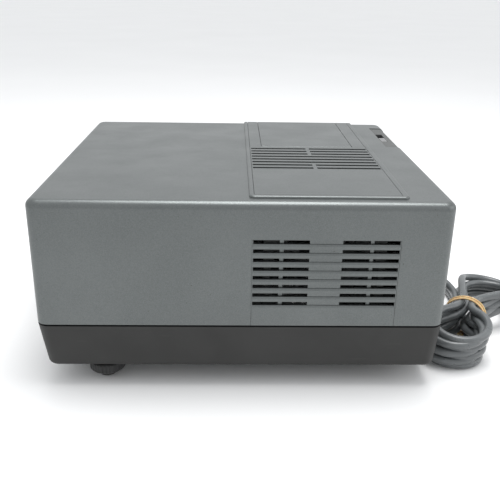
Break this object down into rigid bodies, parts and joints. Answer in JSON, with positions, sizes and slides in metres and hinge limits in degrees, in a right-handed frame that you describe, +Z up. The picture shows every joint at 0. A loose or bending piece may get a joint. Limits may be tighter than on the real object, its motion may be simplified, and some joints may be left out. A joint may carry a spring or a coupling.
{
  "type": "slide projector",
  "caption": "Boxy straight-tray slide projector with a louvred lamp lid, side fan grille, focusing lens, slide changer, screw feet and a tied mains lead.",
  "frame": {"origin": "on the table under the middle of the projector, lens included", "axes": "+X towards the rear control panel (lens faces -X), +Y towards the open slide tray side, +Z up"},
  "size_m": [0.4108, 0.273, 0.1446],
  "materials": {
    "silver_paint": "satin silver metallic paint with a fine grain",
    "black_shell": "fine matt moulded grain",
    "dark_trim": "matt dark grey moulding",
    "black_gloss": "semi-gloss black",
    "grey_buttons": "satin grey",
    "white_nylon": "natural nylon",
    "grey_nylon": "grey nylon",
    "black_anodised": "black anodised, fine turned grain",
    "lens_glass": "coated optical glass",
    "filter_glass": "pale green heat glass",
    "bare_steel": "zinc plated sheet",
    "blackened_steel": "black lacquer",
    "core_iron": "varnished laminations",
    "winding_tape": "yellow winding tape",
    "motor_can": "plated can",
    "mirror_metal": "polished reflector",
    "socket_ceramic": "unglazed ceramic",
    "board_resin": "phenolic board",
    "board_components": "sleeved components",
    "zinc_screws": "passivated zinc",
    "foot_rubber": "matt rubber",
    "foot_black": "worn black moulding",
    "cord_grey": "soft glossy PVC",
    "band_rubber": "natural rubber"
  },
  "bodies": {
    "case": {"base_tray": "black_shell", "board_parts": "board_components", "button_block": "dark_trim", "circuit_board": "board_resin", "control_panel": "dark_trim", "cord_gland": "cord_grey", "cord_hank": "cord_grey", "drive_motor": "motor_can", "fan_housing": "dark_trim", "fan_motor": "core_iron", "focus_motor": "motor_can", "front_condenser": "lens_glass", "fuse_holder": "black_gloss", "halogen_lamp": "lens_glass", "heat_filter": "filter_glass", "lamp_house": "bare_steel", "lamp_socket": "socket_ceramic", "lens_bezel": "dark_trim", "lens_holder": "dark_trim", "mains_cord": "cord_grey", "mains_plug": "cord_grey", "mechanism_plate": "bare_steel", "optics_frame": "bare_steel", "pressure_plate": "bare_steel", "rear_condenser": "lens_glass", "rear_feet": "foot_rubber", "reflector": "mirror_metal", "remote_socket": "black_gloss", "rubber_band": "band_rubber", "screws": "zinc_screws", "slide_gate": "blackened_steel", "switch_body": "black_gloss", "switch_plate": "dark_trim", "top_cover": "silver_paint", "transformer_core": "core_iron", "transformer_frame": "bare_steel", "transformer_winding": "winding_tape", "tray_channel": "black_shell", "vent_panel": "silver_paint"},
    "lamp_cover": {"lamp_cover": "silver_paint"},
    "lamp_hatch": {"lamp_hatch": "silver_paint"},
    "power_rocker": {"power_rocker": "black_gloss"},
    "lens": {"lens_barrel": "black_anodised", "front_lens": "lens_glass", "rear_lens": "lens_glass"},
    "focus_ring": {"focus_ring": "black_gloss"},
    "focus_pinion": {"focus_pinion": "white_nylon"},
    "slide_pusher": {"slide_pusher": "blackened_steel"},
    "drive_gear": {"drive_gear": "white_nylon"},
    "motor_pinion": {"motor_pinion": "white_nylon"},
    "tray_gear": {"tray_gear": "white_nylon"},
    "fan": {"fan_impeller": "grey_nylon"},
    "foot_near": {"foot_pad_near": "foot_rubber"},
    "foot_wheel_near": {"foot_wheel_near": "foot_black"},
    "foot_far": {"foot_pad_far": "foot_rubber"},
    "foot_wheel_far": {"foot_wheel_far": "foot_black"},
    "reverse_button": {"reverse_button": "grey_buttons"},
    "forward_button": {"forward_button": "grey_buttons"},
    "focus_out_button": {"focus_out_button": "grey_buttons"},
    "focus_in_button": {"focus_in_button": "grey_buttons"}
  },
  "joints": [
    {"name": "lamp_cover_lift", "type": "slide", "parent": "case", "child": "lamp_cover", "axis": [0, 0, 1], "range_m": [0, 0.06]},
    {"name": "lamp_hatch_hinge", "type": "hinge", "parent": "lamp_cover", "child": "lamp_hatch", "pos_m": [0.067, 0.0232, 0.1433], "axis": [1, 0, 0], "range_deg": [0, 78]},
    {"name": "power_rocker_tilt", "type": "hinge", "parent": "case", "child": "power_rocker", "pos_m": [0.14295, 0.0705, 0.1386], "axis": [1, 0, 0], "range_deg": [0, 12]},
    {"name": "lens_slide", "type": "slide", "parent": "case", "child": "lens", "axis": [-1, 0, 0], "range_m": [0, 0.015]},
    {"name": "focus_ring_turn", "type": "hinge", "parent": "case", "child": "focus_ring", "pos_m": [-0.141, 0.038, 0.092], "axis": [1, 0, 0], "range_deg": [0, 120]},
    {"name": "focus_pinion_spin", "type": "hinge", "parent": "case", "child": "focus_pinion", "pos_m": [-0.097, 0.038, 0.06206], "axis": [0, 1, 0], "range_deg": [-145, 0]},
    {"name": "slide_pusher_travel", "type": "slide", "parent": "case", "child": "slide_pusher", "axis": [0, -1, 0], "range_m": [0, 0.06]},
    {"name": "drive_gear_spin", "type": "hinge", "parent": "case", "child": "drive_gear", "pos_m": [-0.0242, 0.03, 0.033], "axis": [0, 0, 1], "range_deg": [-215.5, 0]},
    {"name": "motor_pinion_spin", "type": "hinge", "parent": "case", "child": "motor_pinion", "pos_m": [-0.0452, 0.03, 0.033], "axis": [0, 0, 1], "range_deg": [0, 690]},
    {"name": "tray_gear_spin", "type": "hinge", "parent": "case", "child": "tray_gear", "pos_m": [0.033, 0.0795, 0.047], "axis": [0, 1, 0], "continuous": true},
    {"name": "fan_spin", "type": "hinge", "parent": "case", "child": "fan", "pos_m": [0.067, -0.115, 0.084], "axis": [0, 1, 0], "continuous": true},
    {"name": "foot_near_extend", "type": "slide", "parent": "case", "child": "foot_near", "axis": [0, 0, -1], "range_m": [0, 0.012]},
    {"name": "foot_wheel_near_turn", "type": "hinge", "parent": "foot_near", "child": "foot_wheel_near", "pos_m": [-0.091, -0.117, 0.011], "axis": [0, 0, 1], "range_deg": [0, 1081]},
    {"name": "foot_far_extend", "type": "slide", "parent": "case", "child": "foot_far", "axis": [0, 0, -1], "range_m": [0, 0.012]},
    {"name": "foot_wheel_far_turn", "type": "hinge", "parent": "foot_far", "child": "foot_wheel_far", "pos_m": [-0.091, 0.117, 0.011], "axis": [0, 0, 1], "range_deg": [0, 1081]},
    {"name": "reverse_button_press", "type": "slide", "parent": "case", "child": "reverse_button", "axis": [-1, 0, 0], "range_m": [0, 0.002], "stiffness_N_per_m": 300, "springref_m": -0.001},
    {"name": "forward_button_press", "type": "slide", "parent": "case", "child": "forward_button", "axis": [-1, 0, 0], "range_m": [0, 0.002], "stiffness_N_per_m": 300, "springref_m": -0.001},
    {"name": "focus_out_button_press", "type": "slide", "parent": "case", "child": "focus_out_button", "axis": [-1, 0, 0], "range_m": [0, 0.002], "stiffness_N_per_m": 300, "springref_m": -0.001},
    {"name": "focus_in_button_press", "type": "slide", "parent": "case", "child": "focus_in_button", "axis": [-1, 0, 0], "range_m": [0, 0.002], "stiffness_N_per_m": 300, "springref_m": -0.001}
  ],
  "couplings": [
    {"joint": "focus_ring_turn", "follows": "lens_slide", "rad_per_m": 139},
    {"joint": "focus_pinion_spin", "follows": "lens_slide", "rad_per_m": -166.67},
    {"joint": "drive_gear_spin", "follows": "slide_pusher_travel", "rad_per_m": -62.5},
    {"joint": "motor_pinion_spin", "follows": "slide_pusher_travel", "rad_per_m": 200},
    {"joint": "foot_wheel_near_turn", "follows": "foot_near_extend", "rad_per_m": 1570.8},
    {"joint": "foot_wheel_far_turn", "follows": "foot_far_extend", "rad_per_m": 1570.8}
  ]
}
